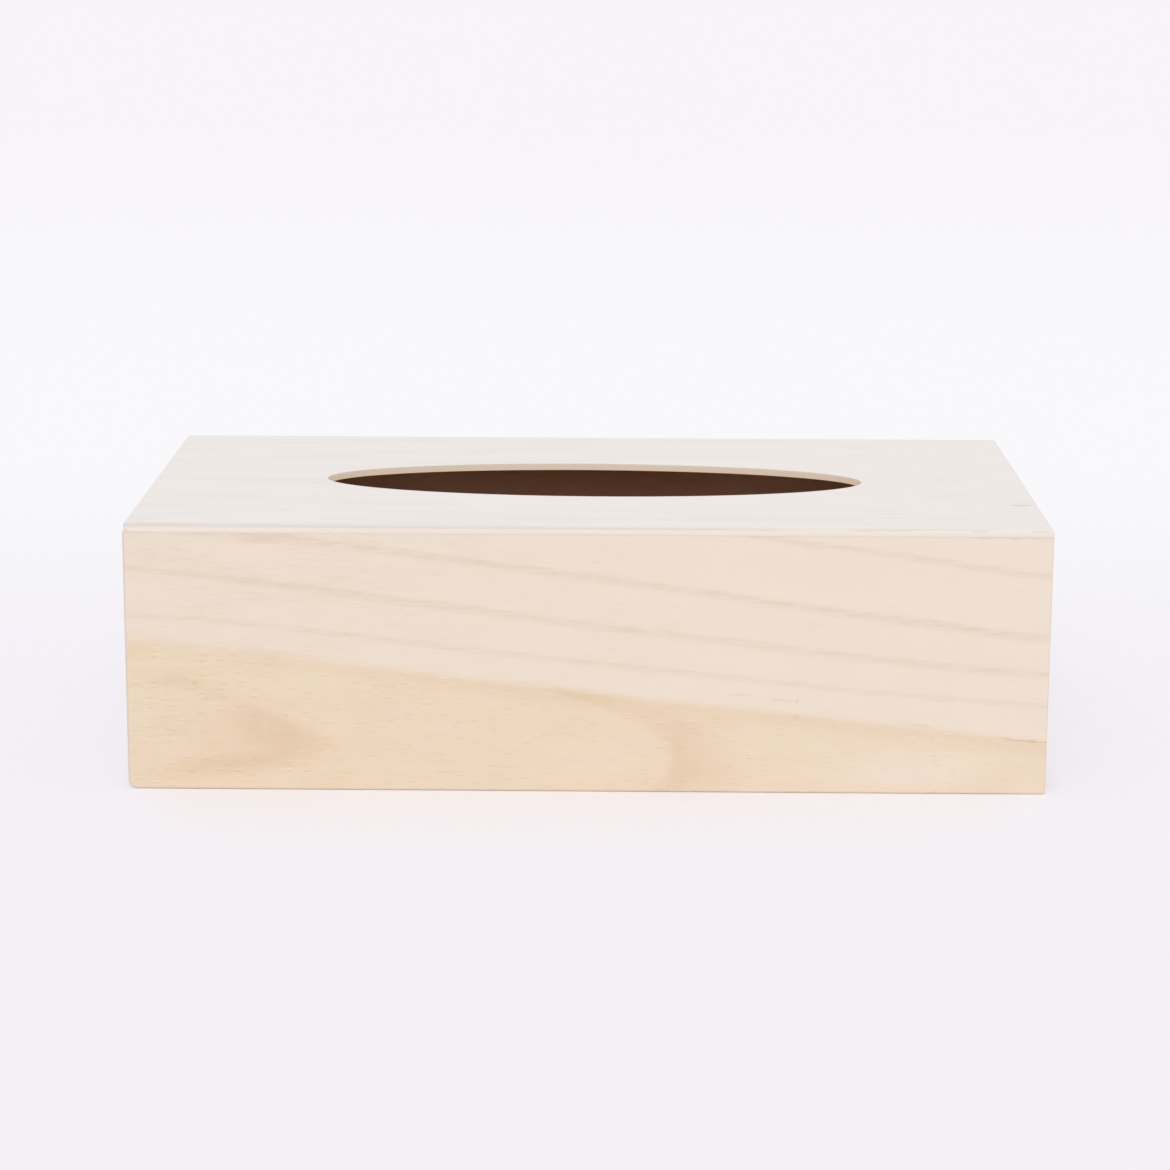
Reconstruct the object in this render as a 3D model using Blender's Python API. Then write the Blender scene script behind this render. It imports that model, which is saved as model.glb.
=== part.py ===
"""Tissue box cover: a plain wooden box with an oval opening on top and a bottom board that slides out.

Four boards make the walls. The front and back boards run the full width and cover the ends of the two
end boards. A thin plywood panel is glued on top of all four, so its edge shows as a light band. The
bottom board slides in grooves and leaves under the right end board, which is cut shorter for it.

Metres, +Z up. The origin is on the table under the middle of the box, and the front faces -Y.
"""

import math

import bmesh
import bpy
from mathutils import Vector

# Outside of the whole box
box_width = 0.260
box_depth = 0.145
box_height = 0.0763

# Thickness of the boards
wall_thickness = 0.006
top_thickness = 0.002
bottom_thickness = 0.003

# Oval opening in the top panel; it was cut a little off the middle, to the right and to the front
opening_length = 0.160
opening_width = 0.052
opening_shift_right = 0.0014
opening_shift_front = 0.0008

# Grooves that the bottom board slides in
groove_depth = 0.003
groove_lip = 0.003

# Finger hole in the bottom board; the inset runs from the outer end of the board to the hole's middle
finger_hole_diameter = 0.020
finger_hole_inset = 0.022

# Sanded arrises: the outer edges of the walls, the finer ones of the top panel, and the well rounded
# foot of the left end
corner_radius = 0.0008
edge_radius = 0.0004
left_foot_radius = 0.002

# Clearances: between glued faces, and round the bottom board in its grooves
glue_gap = 0.0003
slide_clearance = 0.0003

# How far every cutter runs past what it cuts
overrun = 0.002

# Counts of flat faces on round forms
arris_segments = 3
foot_segments = 6
opening_segments = 128
hole_segments = 48

# Places that follow from the sizes above
half_width = box_width / 2
half_depth = box_depth / 2
inner_half_width = half_width - wall_thickness
inner_half_depth = half_depth - wall_thickness
wall_height = box_height - top_thickness - glue_gap
groove_height = bottom_thickness + 2 * slide_clearance
groove_top = groove_lip + groove_height
groove_half_width = inner_half_width + groove_depth
groove_half_depth = inner_half_depth + groove_depth

# Colours are linear; the roughness is that of bare sanded wood
top_colour = (0.86, 0.80, 0.74)
front_colour = (0.84, 0.71, 0.56)
back_colour = (0.83, 0.70, 0.55)
end_colour = (0.82, 0.68, 0.52)
bottom_colour = (0.78, 0.62, 0.45)
wood_roughness = 0.62


def clear_scene():
    for old in list(bpy.data.objects):
        bpy.data.objects.remove(old)


def wood(name, colour):
    """Bare sanded wood in one colour."""
    material = bpy.data.materials.new(name)
    material.use_nodes = True
    shader = material.node_tree.nodes["Principled BSDF"]
    shader.inputs["Base Color"].default_value = (*colour, 1)
    shader.inputs["Roughness"].default_value = wood_roughness
    shader.inputs["Metallic"].default_value = 0
    return material


def empty(name, place, parent=None):
    marker = bpy.data.objects.new(name, None)
    marker.location = place
    marker.parent = parent
    bpy.context.scene.collection.objects.link(marker)
    return marker


def add_piece(name, shape, place, parent, material=None):
    """Turns a shape centred on its own origin into an object that stands at a place of the box."""
    bmesh.ops.recalc_face_normals(shape, faces=shape.faces)
    data = bpy.data.meshes.new(name)
    shape.to_mesh(data)
    shape.free()
    data.shade_smooth()
    data.set_sharp_from_angle(angle=math.radians(35))
    piece = bpy.data.objects.new(name, data)
    bpy.context.scene.collection.objects.link(piece)
    piece.parent = parent
    piece.location = Vector(place) - parent.location
    if material:
        data.materials.append(material)
    return piece


def board(size):
    """A plain board of the given width, depth and height, centred on its origin."""
    shape = bmesh.new()
    bmesh.ops.create_cube(shape, size=1)
    bmesh.ops.scale(shape, vec=size, verts=shape.verts)
    return shape


def outermost(shape, axis, side):
    """Edges that lie wholly in the outermost plane of a shape on one side of one axis."""
    reach = max(side * vert.co[axis] for vert in shape.verts)
    near = reach - edge_radius / 2
    return {edge for edge in shape.edges if all(side * vert.co[axis] > near for vert in edge.verts)}


def round_edges(shape, edges, radius, segments=arris_segments):
    bmesh.ops.bevel(
        shape,
        geom=list(edges),
        offset=radius,
        offset_type="OFFSET",
        segments=segments,
        profile=0.5,
        affect="EDGES",
        clamp_overlap=True,
        material=-1,
    )


def cutter(name, shape, place, parent):
    """A helper that only cuts other pieces: it isn't part of the box."""
    helper = add_piece(name, shape, place, parent)
    helper.hide_render = True
    helper.display_type = "WIRE"
    return helper


def cut(piece, helper):
    modifier = piece.modifiers.new(helper.name, "BOOLEAN")
    modifier.operation = "DIFFERENCE"
    modifier.solver = "EXACT"
    modifier.object = helper


def stack_of_ovals(half_length, half_breadth, rings, segments):
    """A closed solid of oval section. Each ring is how far it stands outside the oval, and its height."""
    shape = bmesh.new()
    ring = bmesh.ops.create_circle(shape, segments=segments, radius=1)["verts"]
    reach = (1, 1)
    height = 0
    for number, (out, next_height) in enumerate(rings):
        if number:
            rim = [edge for edge in shape.edges if edge.verts[0] in ring and edge.verts[1] in ring]
            grown = bmesh.ops.extrude_edge_only(shape, edges=rim)["geom"]
            ring = [part for part in grown if isinstance(part, bmesh.types.BMVert)]
        next_reach = (half_length + out, half_breadth + out)
        stretch = (next_reach[0] / reach[0], next_reach[1] / reach[1], 1)
        bmesh.ops.scale(shape, vec=stretch, verts=ring)
        bmesh.ops.translate(shape, vec=(0, 0, next_height - height), verts=ring)
        reach = next_reach
        height = next_height
    bmesh.ops.holes_fill(shape, edges=shape.edges)
    return shape


def opening_rings():
    """The opening's wall is upright, then turns outwards over the sanded arris to the top face."""
    half_thickness = top_thickness / 2
    rings = [(0, -half_thickness - overrun)]
    for step in range(arris_segments + 1):
        turn = math.radians(90) * step / arris_segments
        out = edge_radius * (1 - math.cos(turn))
        rings.append((out, half_thickness - edge_radius * (1 - math.sin(turn))))
    rings.append((edge_radius, half_thickness + overrun))
    return rings


def top_panel(parent):
    """Thin plywood over all four walls, flush with their outer faces, with the oval opening."""
    shape = board((box_width, box_depth, top_thickness))
    upright = [edge for edge in shape.edges if edge.verts[0].co.z * edge.verts[1].co.z < 0]
    round_edges(shape, upright, corner_radius)
    round_edges(shape, outermost(shape, 2, 1), edge_radius)
    middle = Vector((0, 0, box_height - top_thickness / 2))
    panel = add_piece("top_panel", shape, middle, parent, wood("top_plywood", top_colour))
    hole = stack_of_ovals(opening_length / 2, opening_width / 2, opening_rings(), opening_segments)
    hole_place = middle + Vector((opening_shift_right, -opening_shift_front, 0))
    cut(panel, cutter("opening_cutter", hole, hole_place, parent))
    return panel


def long_wall(name, side, material, space, parent):
    """The front board (side -1) or back board (side 1): full width, grooved inside near its foot."""
    shape = board((box_width, wall_thickness, wall_height))
    left_foot = outermost(shape, 2, -1) & outermost(shape, 0, -1)
    round_edges(shape, left_foot, left_foot_radius, foot_segments)
    round_edges(shape, outermost(shape, 1, side) - outermost(shape, 2, 1), corner_radius)
    middle = (0, side * (half_depth - wall_thickness / 2), wall_height / 2)
    wall = add_piece(name, shape, middle, parent, material)
    cut(wall, space)
    return wall


def end_wall(name, side, foot, foot_radius, material, parent):
    """The left board (side -1) or right board (side 1), between the long walls, from its foot height up."""
    depth = 2 * (inner_half_depth - glue_gap)
    shape = board((wall_thickness, depth, wall_height - foot))
    foot_edge = outermost(shape, 2, -1) & outermost(shape, 0, side)
    round_edges(shape, foot_edge, foot_radius, foot_segments)
    middle = (side * (half_width - wall_thickness / 2), 0, (wall_height + foot) / 2)
    return add_piece(name, shape, middle, parent, material)


def slide_space(parent):
    """The room that the bottom board slides in. It cuts the grooves, and runs out past the right end."""
    low = -groove_half_width
    high = half_width + overrun
    shape = board((high - low, 2 * groove_half_depth, groove_height))
    middle = ((low + high) / 2, 0, groove_lip + groove_height / 2)
    return cutter("slide_space", shape, middle, parent)


def bottom_board(parent):
    """The plywood bottom: it runs along +X in the grooves, and has a finger hole near its outer end."""
    low = slide_clearance - groove_half_width
    high = half_width - slide_clearance
    depth = 2 * (groove_half_depth - slide_clearance)
    shape = board((high - low, depth, bottom_thickness))
    middle = Vector(((low + high) / 2, 0, groove_lip + slide_clearance + bottom_thickness / 2))
    track = empty("bottom_track", middle, parent)
    panel = add_piece("bottom_board", shape, middle, track, wood("bottom_plywood", bottom_colour))
    radius = finger_hole_diameter / 2
    reach = bottom_thickness / 2 + overrun
    hole = stack_of_ovals(radius, radius, [(0, -reach), (0, reach)], hole_segments)
    hole_place = Vector((high - finger_hole_inset, 0, middle.z))
    cut(panel, cutter("finger_hole_cutter", hole, hole_place, track))
    return panel


def main():
    clear_scene()
    cover = empty("tissue_box_cover", (0, 0, 0))
    space = slide_space(cover)
    top_panel(cover)
    long_wall("front_wall", -1, wood("front_wood", front_colour), space, cover)
    long_wall("back_wall", 1, wood("back_wood", back_colour), space, cover)
    left_wood = wood("left_end_wood", end_colour)
    cut(end_wall("left_end_wall", -1, 0, left_foot_radius, left_wood, cover), space)
    right_wood = wood("right_end_wood", end_colour)
    end_wall("right_end_wall", 1, groove_top, edge_radius, right_wood, cover)
    bottom_board(cover)


main()
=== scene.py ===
"""Dresses a plain wooden tissue box cover: six bare wooden pieces, a pale floor, soft light, a camera.

Metres, +Z up. The origin is on the floor under the middle of the box, and the front faces -Y.
"""

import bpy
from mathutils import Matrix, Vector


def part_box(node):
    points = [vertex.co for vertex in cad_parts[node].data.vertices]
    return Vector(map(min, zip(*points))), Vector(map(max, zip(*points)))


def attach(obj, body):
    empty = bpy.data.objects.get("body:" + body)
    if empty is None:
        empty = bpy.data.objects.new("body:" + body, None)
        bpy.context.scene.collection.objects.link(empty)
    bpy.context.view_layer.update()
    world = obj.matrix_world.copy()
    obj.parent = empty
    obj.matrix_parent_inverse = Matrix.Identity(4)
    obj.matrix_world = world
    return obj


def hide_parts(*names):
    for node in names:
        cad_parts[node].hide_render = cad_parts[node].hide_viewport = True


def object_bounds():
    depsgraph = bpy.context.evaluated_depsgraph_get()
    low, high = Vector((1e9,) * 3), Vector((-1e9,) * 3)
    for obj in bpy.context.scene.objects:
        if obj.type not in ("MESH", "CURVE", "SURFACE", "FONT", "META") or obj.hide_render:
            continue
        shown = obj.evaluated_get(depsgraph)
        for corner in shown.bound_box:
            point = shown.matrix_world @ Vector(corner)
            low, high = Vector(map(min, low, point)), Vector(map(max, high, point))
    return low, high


bl_info = {
    "name": "Tissue Box Cover",
    "version": (1, 0, 0),
    "blender": (4, 5, 0),
    "location": "3D View > Sidebar > Tissue Box",
    "description": "A bare wooden tissue box cover with an oval opening and a bottom that slides out",
    "category": "Object",
}

import math
from typing import NamedTuple

import bmesh
import bpy
from bpy.props import FloatProperty, FloatVectorProperty, PointerProperty
from mathutils import Color, Matrix, Vector

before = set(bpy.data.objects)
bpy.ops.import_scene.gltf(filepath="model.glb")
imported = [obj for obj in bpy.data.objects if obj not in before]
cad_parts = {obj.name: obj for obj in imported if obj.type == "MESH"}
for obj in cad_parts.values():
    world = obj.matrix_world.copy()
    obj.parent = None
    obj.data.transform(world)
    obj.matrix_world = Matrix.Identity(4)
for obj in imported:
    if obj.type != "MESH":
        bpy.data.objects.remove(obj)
cad_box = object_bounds()

# Counts of flat faces on round forms
arris_segments = 5
foot_segments = 10
opening_segments = 256
hole_segments = 96

# Faces turned away from each other by more than this keep a sharp edge between them
sharp_angle = math.radians(35)

# How far every cutter runs past what it cuts
overrun = 0.002

# How far inside the outermost plane of a shape a corner may lie and still count as in it
plane_reach = 0.0001

# The patterns of the wood are worked out in millimetres
millimetres_per_metre = 1000


def linear(red, green, blue):
    """A linear colour from the 0 to 255 values that it shows on a screen."""
    return tuple(Color((red / 255, green / 255, blue / 255)).from_srgb_to_scene_linear())


def length(name, description, default):
    return FloatProperty(
        name=name, description=description, default=default, min=0, precision=5, unit="LENGTH"
    )


def share(name, description, default):
    return FloatProperty(
        name=name, description=description, default=default, min=0, max=1, subtype="FACTOR"
    )


def colour(name, description, red, green, blue):
    return FloatVectorProperty(
        name=name,
        description=description,
        default=linear(red, green, blue),
        min=0,
        max=1,
        subtype="COLOR",
    )


class BoxShape(bpy.types.PropertyGroup):
    """Sizes of the box that its outer measures don't give."""

    opening_length: length("Opening length", "Length of the oval opening at its foot", 0.1592)
    opening_width: length("Opening width", "Width of the oval opening at its foot", 0.0514)
    opening_right: length("Opening to the right", "How far right of the middle it was cut", 0.0014)
    opening_front: length("Opening to the front", "How far in front of the middle it was cut", 0.0001)
    opening_turn: FloatProperty(
        name="Opening turn",
        description="How far the opening was cut askew, seen from above",
        default=math.radians(-0.9),
        subtype="ANGLE",
    )
    opening_foot_radius: length("Opening lower arris", "Sanded lower rim of the opening", 0.00015)
    opening_radius: length("Opening arris", "Sanded upper rim of the opening", 0.00015)
    opening_lean: length("Opening lean", "How far the opening's wall leans out up to its top", 0.0004)
    lid_radius: length("Lid arris", "Sanded arris round the top of the lid", 0.0006)
    lid_corner_radius: length("Lid corner", "Worn front left corner of the lid, seen from above", 0.0032)
    corner_radius: length("Corner arris", "Sanded arris round the outside of the walls", 0.0008)
    left_foot_radius: length("Left foot", "Rounding of the foot of the left end", 0.0026)
    right_foot_radius: length("Right foot", "Rounding of the foot of the right end", 0.0007)
    joint_gap: length("Joint gap", "Hairline between glued boards", 0.00002)
    slide_clearance: length("Slide clearance", "Room round the bottom in its grooves", 0.0003)
    loose_length: length("Open joint length", "Length of the open joint under the lid's end", 0.0227)
    loose_gap: length("Open joint gap", "How much wider than the others that joint is", 0.000025)
    crack_length: length("Crack length", "Length of the check in the lid at its right edge", 0.0077)
    crack_width: length("Crack width", "Width of that check at the edge", 0.00024)
    crack_depth: length("Crack depth", "Depth of that check", 0.0006)
    crack_front: length("Crack place", "How far in front of the middle that check lies", 0.0362)
    finger_hole: length("Finger hole", "Diameter of the finger hole in the bottom", 0.020)
    finger_hole_inset: length("Finger hole inset", "From the outer end to the middle of the hole", 0.022)
    finger_hole_chamfer: length("Finger hole chamfer", "Chamfer on both rims of the finger hole", 0.0004)


class BoxColours(bpy.types.PropertyGroup):
    """Colours of the wood."""

    board_light: colour("Board, light", "Palest streaks of the boards", 244, 231, 218)
    board_plain: colour("Board, plain", "Main colour of the boards", 238, 223, 206)
    board_brown: colour("Board, brown", "Darkest growth lines of the boards", 217, 190, 162)
    heart_light: colour("Heartwood, light", "Palest streaks of the yellower wood", 243, 228, 208)
    heart_plain: colour("Heartwood, plain", "Main colour of the yellower wood", 237, 218, 190)
    heart_pink: colour("Heartwood, pink", "Pinker patches in the yellower wood", 237, 215, 194)
    heart_pale: colour("Heartwood, pale", "Paler pinkish place in the yellower wood", 240, 224, 206)
    heart_brown: colour("Heartwood, brown", "Darkest figure in the yellower wood", 216, 179, 142)
    end_grain: colour("End grain", "Ends of the boards", 219, 194, 163)
    # Unsanded inner faces, darkened further as painted shade of the closed box
    inside: colour("Inside", "Unsanded inner faces", 181, 137, 107)
    # Painted light: inner faces paler lower down and near their ends
    inside_painted_light: colour("Inside, pale", "Inner faces lower down and near their ends", 214, 178, 157)
    lid_light: colour("Lid, light", "Palest streaks of the lid", 243, 240, 238)
    lid_plain: colour("Lid, plain", "Main colour of the lid", 238, 232, 228)
    lid_brown: colour("Lid, brown", "Darkest streaks of the lid", 212, 196, 182)
    # Painted shade: the check's walls and the lid round them are coloured dark as the narrow check's
    # shade
    crack: colour("Crack", "Walls of the check in the lid", 178, 153, 131)
    veneer_edge: colour("Veneer edge", "Edges of the outer plies", 243, 234, 226)
    core_edge: colour("Core edge", "Edge of the ply in the middle", 243, 232, 221)
    glue_line: colour("Glue line", "Glue between two plies", 226, 208, 187)
    cut_edge: colour("Cut edge", "Wall of an opening that was cut with a router", 248, 225, 197)
    # The arris colour also gives the painted shade on the arris at the left end of a board
    arris: colour("Arris", "Sanded edge between a face and the plies", 216, 201, 188)
    bottom_light: colour("Bottom, light", "Palest streaks of the bottom", 238, 220, 196)
    bottom_plain: colour("Bottom, plain", "Main colour of the bottom", 229, 207, 179)
    bottom_brown: colour("Bottom, brown", "Darkest streaks of the bottom", 200, 168, 134)
    # The bottom's unsanded upper face, also darkened as painted shade inside the closed box
    bottom_inside: colour("Bottom, inside", "Unsanded upper face of the bottom", 216, 190, 160)


class WoodGrain(bpy.types.PropertyGroup):
    """How the grain of the wood looks."""

    roughness: share("Roughness", "How matt the bare wood is", 0.64)
    shine: share("Shine", "How strongly the bare wood mirrors", 0.35)
    relief: length("Relief", "Depth of the fine grain", 0.00003)
    line_step: length("Line step", "How far the level fibres shift a growth line", 0.0004)
    line_drift: length("Line drift", "How far a growth line wanders slowly", 0.00035)
    fleck_length: length("Fleck length", "Length of the room that one fleck has", 0.0048)
    fleck_breadth: length("Fleck breadth", "Breadth of the room that one fleck has", 0.0009)
    fibre_length: length("Fibre length", "Length of the finest fibres", 0.008)
    fibre_breadth: length("Fibre breadth", "Breadth of the finest fibres", 0.0003)


class BoxStage(bpy.types.PropertyGroup):
    """Floor, light and camera."""

    floor_size: length("Floor size", "Side of the square floor", 16)
    # The floor tones paint the fall of light over it: brightest behind the box
    floor_front: colour("Floor, front", "Floor near the camera", 243, 241, 246)
    floor_middle: colour("Floor, middle", "Floor at the box", 244, 242, 248)
    floor_bright: colour("Floor, bright", "Brightest part of the floor, behind the box", 249, 248, 251)
    floor_back: colour("Floor, back", "Floor far behind", 247, 244, 250)
    side_glow: share("Side glow", "How much the floor beside the ends of the box hides its shade", 0.65)
    sky: FloatProperty(name="Sky", description="Strength of the even light", default=0.78, min=0)
    lamp: FloatProperty(name="Lamp", description="Strength of the soft lamp", default=0.84, min=0)
    lamp_turn: FloatVectorProperty(
        name="Lamp turn",
        description="Direction of the soft lamp",
        default=(math.radians(35), 0, math.radians(-4)),
        subtype="EULER",
    )
    lamp_spread: FloatProperty(
        name="Lamp spread",
        description="How wide the lamp looks from the box",
        default=math.radians(50),
        subtype="ANGLE",
    )
    camera_place: FloatVectorProperty(
        name="Camera place",
        description="Where the camera stands",
        default=(0.006216, -0.953072, 0.257689),
        subtype="TRANSLATION",
        unit="LENGTH",
    )
    camera_turn: FloatVectorProperty(
        name="Camera turn",
        description="Which way the camera looks",
        default=(math.radians(77.3522), math.radians(-0.2612), math.radians(0.506)),
        subtype="EULER",
    )
    lens: FloatProperty(
        name="Lens", description="Focal length", default=99.31, min=1, subtype="DISTANCE_CAMERA"
    )


class GrowthLine(NamedTuple):
    """A dark line along a board, in millimetres.

    Its height at the middle of the board, how far it falls from there to the right end, how much the two
    ends rise together, and how much of an S it makes. Then how far its shade reaches above and below it.
    """

    height: float
    fall: float
    bow: float = 0
    sway: float = 0
    above: float = 1.6
    below: float = 2.5
    strength: float = 0.28


class Mark(NamedTuple):
    """A soft oval mark, in millimetres and degrees: darker where its strength is above zero."""

    along: float
    across: float
    half_length: float
    half_breadth: float
    turn: float
    strength: float


class Figure(NamedTuple):
    """A pointed figure, in millimetres and degrees. Its rim is a curve that opens to the left of its tip.

    The two arms stand half_breadth off the figure's middle at one length from the tip. The shade reaches
    in and out from the rim by shares of that length, and arm_share of it is left where the arms end.
    """

    along: float
    across: float
    length: float
    half_breadth: float
    turn: float
    inward_share: float
    outward_share: float
    arm_share: float
    strength: float


class HeartEdge(NamedTuple):
    """The upper boundary of the yellower heartwood, in millimetres. It runs as a growth line does.

    Its blur is greatest at the left end. The darker rim under it fades out downwards, from its top to its
    depth, and a share of it is left at the left end.
    """

    height: float
    fall: float
    bow: float = 0
    sway: float = 0
    left_blur: float = 3.8
    blur: float = 1.7
    rim_top: float = 0.6
    rim_depth: float = 7
    rim_strength: float = 0.17
    rim_left_share: float = 0.1


class Grains(NamedTuple):
    """Soft noise in wood: the size of its grains along, across and through it, in millimetres.

    The reach is how far it moves a shade up and down. The place picks another part of the noise.
    """

    size: tuple
    reach: float = 0
    detail: float = 2
    place: float = 0


class BoardLook(NamedTuple):
    """How the pattern lies on one board, in millimetres.

    The order names the axes along the grain, across it and through the board. The face is the outer
    face's place through the board, and inward is 1 or -1, the way from there to the inner face. The
    heart_marks, the pale_marks and the figures show only in the heartwood. A board that is brighter gets
    so towards its right end.
    """

    order: str
    half_length: float
    face: float
    inward: int
    lines: tuple
    heart: HeartEdge = None
    marks: tuple = ()
    heart_marks: tuple = ()
    pale_marks: tuple = ()
    figures: tuple = ()
    brighter: float = 0


class PlyLook(NamedTuple):
    """How the pattern lies on one plywood panel, in millimetres.

    Inward is 1 or -1, the way up or down from the outer face to the inner face. The tones name the pale,
    plain and brown colours of each face. The opening is a mark over the cut opening, whose wall has a
    colour of its own. The crack marks paint the shade of the checks in a colour of their own. The stain
    is the share of glue colour along the lower edge. The contrast says how strong the streaks are at the
    left end and at the right end.
    """

    inward: int
    tones: tuple
    inner_tones: tuple
    marks: tuple
    opening: Mark
    painted_crack_shades: tuple = ()
    stain: float = 0
    contrast: tuple = (1.2, 0.6)


front_look = BoardLook(
    order="XZY",
    half_length=130,
    face=-72.5,
    inward=1,
    lines=(
        GrowthLine(81.2, 18.0, above=1.3, below=2.0, strength=0.21),
        GrowthLine(62.7, 17.5, -1.9, 2.0, above=1.6, below=2.5, strength=0.25),
        GrowthLine(48.9, 16.1, 1.0, 1.3, above=1.4, below=2.3, strength=0.23),
        GrowthLine(38.1, 14.3, 0.7, 1.8, above=1.1, below=1.8, strength=0.18),
    ),
    heart=HeartEdge(29.6, 14.05, 0.4, -0.4),
    marks=(
        Mark(-91, 72.5, 18, 2.2, 3, 0.2),
        Mark(42.9, 28.6, 6.5, 0.42, -3, 0.32),
        Mark(54.5, 27.2, 5.5, 0.45, -6, 0.4),
        Mark(59.2, 26.9, 0.8, 0.7, 0, 0.45),
        Mark(58.9, 22.4, 1.7, 0.9, 0, 0.32),
        Mark(110.3, 74.15, 6.5, 0.4, 0, 0.3),
        Mark(119.4, 74.15, 2.4, 0.4, 0, 0.3),
        Mark(126.5, 73.9, 4.5, 0.35, 0, 0.25),
        Mark(125, 15.6, 13, 0.55, -6, 0.75),
        Mark(93, 20.2, 8, 0.5, -5, 0.3),
    ),
    heart_marks=(
        Mark(-2, 27, 26, 5, -6.5, 0.1),
        Mark(22, 21, 15, 4.5, -15, 0.13),
        Mark(33, 17, 14, 9, 0, 0.14),
        Mark(35, 6, 15, 8, 0, 0.12),
        Mark(-104, 6.6, 34, 5, 5, 0.21),
        Mark(-88, 25.5, 18, 4, -12, 0.09),
        Mark(-112, 31, 18, 5, -14, 0.12),
        Mark(-91, 17, 16, 8, -20, 0.13),
        Mark(-108, 18, 22, 8, -6, 0.12),
        Mark(-110.7, 31.2, 1.5, 0.5, 0, 0.45),
        Mark(-84.9, 21.7, 1.5, 0.5, 0, 0.45),
        Mark(94, 9, 36, 9, 0, -0.3),
        Mark(2, 9, 20, 9, 0, -0.16),
        Mark(64, 10, 18, 9, 0, -0.1),
        Mark(-45, 15, 24, 8, 0, -0.08),
    ),
    pale_marks=(Mark(90, 5.5, 34, 8, 0, 0.9),),
    figures=(
        Figure(-81.5, 13.9, 36, 11.5, -8.5, 0.9, 0.45, 0.05, 0.28),
        Figure(26, 9.5, 5.5, 8, 0, 0.9, 1.6, 0.35, 0.14),
        Figure(26, 9.5, 5.5, 8, 0, 0.9, 3.4, 0.6, 0.12),
    ),
    brighter=0.26,
)

back_look = BoardLook(
    order="XZY",
    half_length=130,
    face=72.5,
    inward=-1,
    lines=(
        GrowthLine(72, -3, -12, strength=0.3),
        GrowthLine(58, -4, -14, 2, strength=0.34),
        GrowthLine(43, -5, -15, 1, strength=0.28),
        GrowthLine(27, -5, -13, 2, strength=0.34),
        GrowthLine(12, -4, -9, strength=0.24),
    ),
    marks=(
        Mark(-30, 18, 34, 9, 4, 0.14),
        Mark(64, 40, 28, 7, -8, -0.2),
        Mark(88, 61, 1.4, 0.5, 0, 0.5),
        Mark(-71, 33, 1.8, 0.5, 0, 0.45),
    ),
)

left_look = BoardLook(
    order="YZX",
    half_length=66.5,
    face=-130,
    inward=1,
    lines=(
        GrowthLine(69, 4, 1, strength=0.26),
        GrowthLine(55, 5, 2, strength=0.34),
        GrowthLine(43, 6, 2, 1, strength=0.3),
        GrowthLine(29, 6, 1, strength=0.32),
        GrowthLine(14, 5, 0, strength=0.26),
    ),
    marks=(Mark(-20, 36, 18, 6, 6, 0.12), Mark(31, 17, 1.6, 0.5, 0, 0.45)),
)

right_look = BoardLook(
    order="YZX",
    half_length=66.5,
    face=130,
    inward=-1,
    lines=(
        GrowthLine(66, -6, 1, strength=0.3),
        GrowthLine(50, -7, 1, -1, strength=0.3),
        GrowthLine(36, -8, 2, strength=0.34),
        GrowthLine(20, -8, 1, strength=0.28),
    ),
    heart=HeartEdge(9, -8),
    marks=(Mark(24, 44, 20, 6, -6, 0.12), Mark(-33, 58, 1.5, 0.5, 0, 0.45)),
)

lid_look = PlyLook(
    inward=-1,
    tones=("lid_light", "lid_plain", "lid_brown"),
    inner_tones=("heart_plain", "inside", "inside"),
    marks=(
        Mark(-10, -71.6, 150, 2.4, 0, 0.32),
        Mark(-124, -70.8, 30, 3.2, 0, 0.35),
        Mark(92, -71.8, 34, 2, 0, 0.25),
        Mark(-95, -71, 55, 5, 0, 0.22),
        Mark(0, -58, 160, 12, 0, 0.065),
        Mark(-53, 65.8, 26, 0.9, 2, 0.3),
        Mark(-105, 64.8, 3, 0.6, 0, 0.3),
        Mark(86, 56.2, 7, 0.7, 2, 0.3),
        Mark(-90, -48.2, 14, 0.9, 2, 0.25),
        Mark(-36, -48.6, 10, 0.8, 1, 0.25),
        Mark(86, -49.8, 12, 0.8, 1, 0.35),
        Mark(110, -51.8, 5, 0.7, 1, 0.3),
    ),
    opening=Mark(1.4, -0.8, 130, 42, 0, 1),
    painted_crack_shades=(Mark(125.2, -36.2, 4.9, 0.35, 0, 1.5),),
    stain=0.5,
)

bottom_look = PlyLook(
    inward=1,
    tones=("bottom_light", "bottom_plain", "bottom_brown"),
    inner_tones=("bottom_plain", "bottom_inside", "bottom_brown"),
    marks=(Mark(-60, 20, 40, 3, 1, 0.2), Mark(45, -30, 50, 2.5, -1, 0.2)),
    opening=Mark(107.7, 0, 16, 16, 0, 1),
    contrast=(1.8, 1.8),
)


# Soft noise lies round 0.5: most of it in the first range, and nearly all in the second
most_noise = (0.3, 0.7)
all_noise = (0.2, 0.8)

# Marks and figures go right through a board, in millimetres
right_through = 1000

# Where a mark has its full strength, as a share of the way in from its rim, where the arms of a figure
# end and are full, in lengths past its tip, and where a fleck ends and is full, in shares of its room
mark_core = 0.9
arm_range = (-1.1, -0.05)
fleck_range = (0.4, 0.1)


def darkening(marks):
    return [mark for mark in marks if mark.strength > 0]


def brightening(marks):
    return [mark for mark in marks if mark.strength < 0]


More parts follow.
